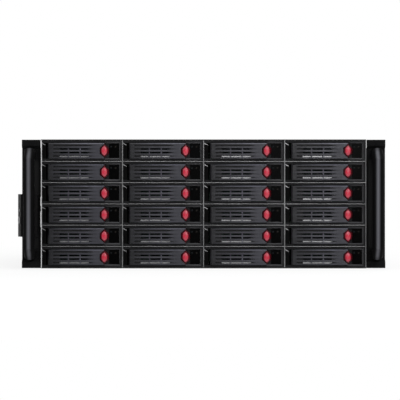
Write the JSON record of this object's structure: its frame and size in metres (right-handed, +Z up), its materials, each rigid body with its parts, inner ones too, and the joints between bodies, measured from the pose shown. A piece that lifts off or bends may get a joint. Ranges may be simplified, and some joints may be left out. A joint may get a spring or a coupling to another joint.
{
  "type": "rackmount server case",
  "caption": "Rackmount server case with a front grid of pull-out drive trays, louvred ejector levers, red release buttons, ears with arched grips, lift-off cover and inner fans.",
  "frame": {"origin": "centre of the rack screw pattern, on the plane where the ears meet the rack posts", "axes": "+X to the right seen from the front, +Y to the rear along the case's depth, +Z up"},
  "size_m": [0.4881, 0.69, 0.171],
  "materials": {
    "shell": "satin black coat",
    "cage": "bare galvanised sheet",
    "board": "green circuit board",
    "fan": "matt black moulding",
    "ear": "satin black coat",
    "handle": "satin black moulding",
    "module": "matt black moulding",
    "power": "glossy dark cap",
    "tray": "fine grained black moulding",
    "lever": "fine grained black moulding"
  },
  "bodies": {
    "chassis": {"chassis_shell": "shell", "drive_cage": "cage", "backplanes": "board", "fan_housings": "fan", "rack_ears": "ear", "ear_handles": "handle", "control_module": "module"},
    "cover": {"top_cover": "shell"},
    "power": {"power_button": "power"},
    "fan_rotor_1": {"fan_rotor_1": "fan"},
    "fan_rotor_2": {"fan_rotor_2": "fan"},
    "fan_rotor_3": {"fan_rotor_3": "fan"},
    "tray_r1c1": {"tray_r1c1": "tray"},
    "lever_r1c1": {"lever_r1c1": "lever"},
    "tray_r1c2": {"tray_r1c2": "tray"},
    "lever_r1c2": {"lever_r1c2": "lever"},
    "tray_r1c3": {"tray_r1c3": "tray"},
    "lever_r1c3": {"lever_r1c3": "lever"},
    "tray_r1c4": {"tray_r1c4": "tray"},
    "lever_r1c4": {"lever_r1c4": "lever"},
    "tray_r2c1": {"tray_r2c1": "tray"},
    "lever_r2c1": {"lever_r2c1": "lever"},
    "tray_r2c2": {"tray_r2c2": "tray"},
    "lever_r2c2": {"lever_r2c2": "lever"},
    "tray_r2c3": {"tray_r2c3": "tray"},
    "lever_r2c3": {"lever_r2c3": "lever"},
    "tray_r2c4": {"tray_r2c4": "tray"},
    "lever_r2c4": {"lever_r2c4": "lever"},
    "tray_r3c1": {"tray_r3c1": "tray"},
    "lever_r3c1": {"lever_r3c1": "lever"},
    "tray_r3c2": {"tray_r3c2": "tray"},
    "lever_r3c2": {"lever_r3c2": "lever"},
    "tray_r3c3": {"tray_r3c3": "tray"},
    "lever_r3c3": {"lever_r3c3": "lever"},
    "tray_r3c4": {"tray_r3c4": "tray"},
    "lever_r3c4": {"lever_r3c4": "lever"},
    "tray_r4c1": {"tray_r4c1": "tray"},
    "lever_r4c1": {"lever_r4c1": "lever"},
    "tray_r4c2": {"tray_r4c2": "tray"},
    "lever_r4c2": {"lever_r4c2": "lever"},
    "tray_r4c3": {"tray_r4c3": "tray"},
    "lever_r4c3": {"lever_r4c3": "lever"},
    "tray_r4c4": {"tray_r4c4": "tray"},
    "lever_r4c4": {"lever_r4c4": "lever"},
    "tray_r5c1": {"tray_r5c1": "tray"},
    "lever_r5c1": {"lever_r5c1": "lever"},
    "tray_r5c2": {"tray_r5c2": "tray"},
    "lever_r5c2": {"lever_r5c2": "lever"},
    "tray_r5c3": {"tray_r5c3": "tray"},
    "lever_r5c3": {"lever_r5c3": "lever"},
    "tray_r5c4": {"tray_r5c4": "tray"},
    "lever_r5c4": {"lever_r5c4": "lever"},
    "tray_r6c1": {"tray_r6c1": "tray"},
    "lever_r6c1": {"lever_r6c1": "lever"},
    "tray_r6c2": {"tray_r6c2": "tray"},
    "lever_r6c2": {"lever_r6c2": "lever"},
    "tray_r6c3": {"tray_r6c3": "tray"},
    "lever_r6c3": {"lever_r6c3": "lever"},
    "tray_r6c4": {"tray_r6c4": "tray"},
    "lever_r6c4": {"lever_r6c4": "lever"}
  },
  "joints": [
    {"name": "cover_lift", "type": "slide", "parent": "chassis", "child": "cover", "axis": [0, 0, 1], "range_m": [0, 0.12]},
    {"name": "power_press", "type": "slide", "parent": "chassis", "child": "power", "axis": [0.9394, 0.3428, 0], "range_m": [0, 0.0015], "stiffness_N_per_m": 500, "springref_m": -0.0005},
    {"name": "fan_spin_1", "type": "hinge", "parent": "chassis", "child": "fan_rotor_1", "pos_m": [-0.14307, 0.2266, -0.0243], "axis": [0, 1, 0], "continuous": true},
    {"name": "fan_spin_2", "type": "hinge", "parent": "chassis", "child": "fan_rotor_2", "pos_m": [0, 0.2266, -0.0243], "axis": [0, 1, 0], "continuous": true},
    {"name": "fan_spin_3", "type": "hinge", "parent": "chassis", "child": "fan_rotor_3", "pos_m": [0.14307, 0.2266, -0.0243], "axis": [0, 1, 0], "continuous": true},
    {"name": "tray_slide_r1c1", "type": "slide", "parent": "chassis", "child": "tray_r1c1", "axis": [0, -1, 0], "range_m": [0, 0.18]},
    {"name": "lever_swing_r1c1", "type": "hinge", "parent": "tray_r1c1", "child": "lever_r1c1", "pos_m": [-0.20315, -0.0101, 0.07058], "axis": [0, 0, -1], "range_deg": [0, 60]},
    {"name": "tray_slide_r1c2", "type": "slide", "parent": "chassis", "child": "tray_r1c2", "axis": [0, -1, 0], "range_m": [0, 0.18]},
    {"name": "lever_swing_r1c2", "type": "hinge", "parent": "tray_r1c2", "child": "lever_r1c2", "pos_m": [-0.09555, -0.0101, 0.07058], "axis": [0, 0, -1], "range_deg": [0, 60]},
    {"name": "tray_slide_r1c3", "type": "slide", "parent": "chassis", "child": "tray_r1c3", "axis": [0, -1, 0], "range_m": [0, 0.18]},
    {"name": "lever_swing_r1c3", "type": "hinge", "parent": "tray_r1c3", "child": "lever_r1c3", "pos_m": [0.01205, -0.0101, 0.07058], "axis": [0, 0, -1], "range_deg": [0, 60]},
    {"name": "tray_slide_r1c4", "type": "slide", "parent": "chassis", "child": "tray_r1c4", "axis": [0, -1, 0], "range_m": [0, 0.18]},
    {"name": "lever_swing_r1c4", "type": "hinge", "parent": "tray_r1c4", "child": "lever_r1c4", "pos_m": [0.11965, -0.0101, 0.07058], "axis": [0, 0, -1], "range_deg": [0, 60]},
    {"name": "tray_slide_r2c1", "type": "slide", "parent": "chassis", "child": "tray_r2c1", "axis": [0, -1, 0], "range_m": [0, 0.18]},
    {"name": "lever_swing_r2c1", "type": "hinge", "parent": "tray_r2c1", "child": "lever_r2c1", "pos_m": [-0.20315, -0.0101, 0.04235], "axis": [0, 0, -1], "range_deg": [0, 60]},
    {"name": "tray_slide_r2c2", "type": "slide", "parent": "chassis", "child": "tray_r2c2", "axis": [0, -1, 0], "range_m": [0, 0.18]},
    {"name": "lever_swing_r2c2", "type": "hinge", "parent": "tray_r2c2", "child": "lever_r2c2", "pos_m": [-0.09555, -0.0101, 0.04235], "axis": [0, 0, -1], "range_deg": [0, 60]},
    {"name": "tray_slide_r2c3", "type": "slide", "parent": "chassis", "child": "tray_r2c3", "axis": [0, -1, 0], "range_m": [0, 0.18]},
    {"name": "lever_swing_r2c3", "type": "hinge", "parent": "tray_r2c3", "child": "lever_r2c3", "pos_m": [0.01205, -0.0101, 0.04235], "axis": [0, 0, -1], "range_deg": [0, 60]},
    {"name": "tray_slide_r2c4", "type": "slide", "parent": "chassis", "child": "tray_r2c4", "axis": [0, -1, 0], "range_m": [0, 0.18]},
    {"name": "lever_swing_r2c4", "type": "hinge", "parent": "tray_r2c4", "child": "lever_r2c4", "pos_m": [0.11965, -0.0101, 0.04235], "axis": [0, 0, -1], "range_deg": [0, 60]},
    {"name": "tray_slide_r3c1", "type": "slide", "parent": "chassis", "child": "tray_r3c1", "axis": [0, -1, 0], "range_m": [0, 0.18]},
    {"name": "lever_swing_r3c1", "type": "hinge", "parent": "tray_r3c1", "child": "lever_r3c1", "pos_m": [-0.20315, -0.0101, 0.01412], "axis": [0, 0, -1], "range_deg": [0, 60]},
    {"name": "tray_slide_r3c2", "type": "slide", "parent": "chassis", "child": "tray_r3c2", "axis": [0, -1, 0], "range_m": [0, 0.18]},
    {"name": "lever_swing_r3c2", "type": "hinge", "parent": "tray_r3c2", "child": "lever_r3c2", "pos_m": [-0.09555, -0.0101, 0.01412], "axis": [0, 0, -1], "range_deg": [0, 60]},
    {"name": "tray_slide_r3c3", "type": "slide", "parent": "chassis", "child": "tray_r3c3", "axis": [0, -1, 0], "range_m": [0, 0.18]},
    {"name": "lever_swing_r3c3", "type": "hinge", "parent": "tray_r3c3", "child": "lever_r3c3", "pos_m": [0.01205, -0.0101, 0.01412], "axis": [0, 0, -1], "range_deg": [0, 60]},
    {"name": "tray_slide_r3c4", "type": "slide", "parent": "chassis", "child": "tray_r3c4", "axis": [0, -1, 0], "range_m": [0, 0.18]},
    {"name": "lever_swing_r3c4", "type": "hinge", "parent": "tray_r3c4", "child": "lever_r3c4", "pos_m": [0.11965, -0.0101, 0.01412], "axis": [0, 0, -1], "range_deg": [0, 60]},
    {"name": "tray_slide_r4c1", "type": "slide", "parent": "chassis", "child": "tray_r4c1", "axis": [0, -1, 0], "range_m": [0, 0.18]},
    {"name": "lever_swing_r4c1", "type": "hinge", "parent": "tray_r4c1", "child": "lever_r4c1", "pos_m": [-0.20315, -0.0101, -0.01412], "axis": [0, 0, -1], "range_deg": [0, 60]},
    {"name": "tray_slide_r4c2", "type": "slide", "parent": "chassis", "child": "tray_r4c2", "axis": [0, -1, 0], "range_m": [0, 0.18]},
    {"name": "lever_swing_r4c2", "type": "hinge", "parent": "tray_r4c2", "child": "lever_r4c2", "pos_m": [-0.09555, -0.0101, -0.01412], "axis": [0, 0, -1], "range_deg": [0, 60]},
    {"name": "tray_slide_r4c3", "type": "slide", "parent": "chassis", "child": "tray_r4c3", "axis": [0, -1, 0], "range_m": [0, 0.18]},
    {"name": "lever_swing_r4c3", "type": "hinge", "parent": "tray_r4c3", "child": "lever_r4c3", "pos_m": [0.01205, -0.0101, -0.01412], "axis": [0, 0, -1], "range_deg": [0, 60]},
    {"name": "tray_slide_r4c4", "type": "slide", "parent": "chassis", "child": "tray_r4c4", "axis": [0, -1, 0], "range_m": [0, 0.18]},
    {"name": "lever_swing_r4c4", "type": "hinge", "parent": "tray_r4c4", "child": "lever_r4c4", "pos_m": [0.11965, -0.0101, -0.01412], "axis": [0, 0, -1], "range_deg": [0, 60]},
    {"name": "tray_slide_r5c1", "type": "slide", "parent": "chassis", "child": "tray_r5c1", "axis": [0, -1, 0], "range_m": [0, 0.18]},
    {"name": "lever_swing_r5c1", "type": "hinge", "parent": "tray_r5c1", "child": "lever_r5c1", "pos_m": [-0.20315, -0.0101, -0.04235], "axis": [0, 0, -1], "range_deg": [0, 60]},
    {"name": "tray_slide_r5c2", "type": "slide", "parent": "chassis", "child": "tray_r5c2", "axis": [0, -1, 0], "range_m": [0, 0.18]},
    {"name": "lever_swing_r5c2", "type": "hinge", "parent": "tray_r5c2", "child": "lever_r5c2", "pos_m": [-0.09555, -0.0101, -0.04235], "axis": [0, 0, -1], "range_deg": [0, 60]},
    {"name": "tray_slide_r5c3", "type": "slide", "parent": "chassis", "child": "tray_r5c3", "axis": [0, -1, 0], "range_m": [0, 0.18]},
    {"name": "lever_swing_r5c3", "type": "hinge", "parent": "tray_r5c3", "child": "lever_r5c3", "pos_m": [0.01205, -0.0101, -0.04235], "axis": [0, 0, -1], "range_deg": [0, 60]},
    {"name": "tray_slide_r5c4", "type": "slide", "parent": "chassis", "child": "tray_r5c4", "axis": [0, -1, 0], "range_m": [0, 0.18]},
    {"name": "lever_swing_r5c4", "type": "hinge", "parent": "tray_r5c4", "child": "lever_r5c4", "pos_m": [0.11965, -0.0101, -0.04235], "axis": [0, 0, -1], "range_deg": [0, 60]},
    {"name": "tray_slide_r6c1", "type": "slide", "parent": "chassis", "child": "tray_r6c1", "axis": [0, -1, 0], "range_m": [0, 0.18]},
    {"name": "lever_swing_r6c1", "type": "hinge", "parent": "tray_r6c1", "child": "lever_r6c1", "pos_m": [-0.20315, -0.0101, -0.07058], "axis": [0, 0, -1], "range_deg": [0, 60]},
    {"name": "tray_slide_r6c2", "type": "slide", "parent": "chassis", "child": "tray_r6c2", "axis": [0, -1, 0], "range_m": [0, 0.18]},
    {"name": "lever_swing_r6c2", "type": "hinge", "parent": "tray_r6c2", "child": "lever_r6c2", "pos_m": [-0.09555, -0.0101, -0.07058], "axis": [0, 0, -1], "range_deg": [0, 60]},
    {"name": "tray_slide_r6c3", "type": "slide", "parent": "chassis", "child": "tray_r6c3", "axis": [0, -1, 0], "range_m": [0, 0.18]},
    {"name": "lever_swing_r6c3", "type": "hinge", "parent": "tray_r6c3", "child": "lever_r6c3", "pos_m": [0.01205, -0.0101, -0.07058], "axis": [0, 0, -1], "range_deg": [0, 60]},
    {"name": "tray_slide_r6c4", "type": "slide", "parent": "chassis", "child": "tray_r6c4", "axis": [0, -1, 0], "range_m": [0, 0.18]},
    {"name": "lever_swing_r6c4", "type": "hinge", "parent": "tray_r6c4", "child": "lever_r6c4", "pos_m": [0.11965, -0.0101, -0.07058], "axis": [0, 0, -1], "range_deg": [0, 60]}
  ]
}
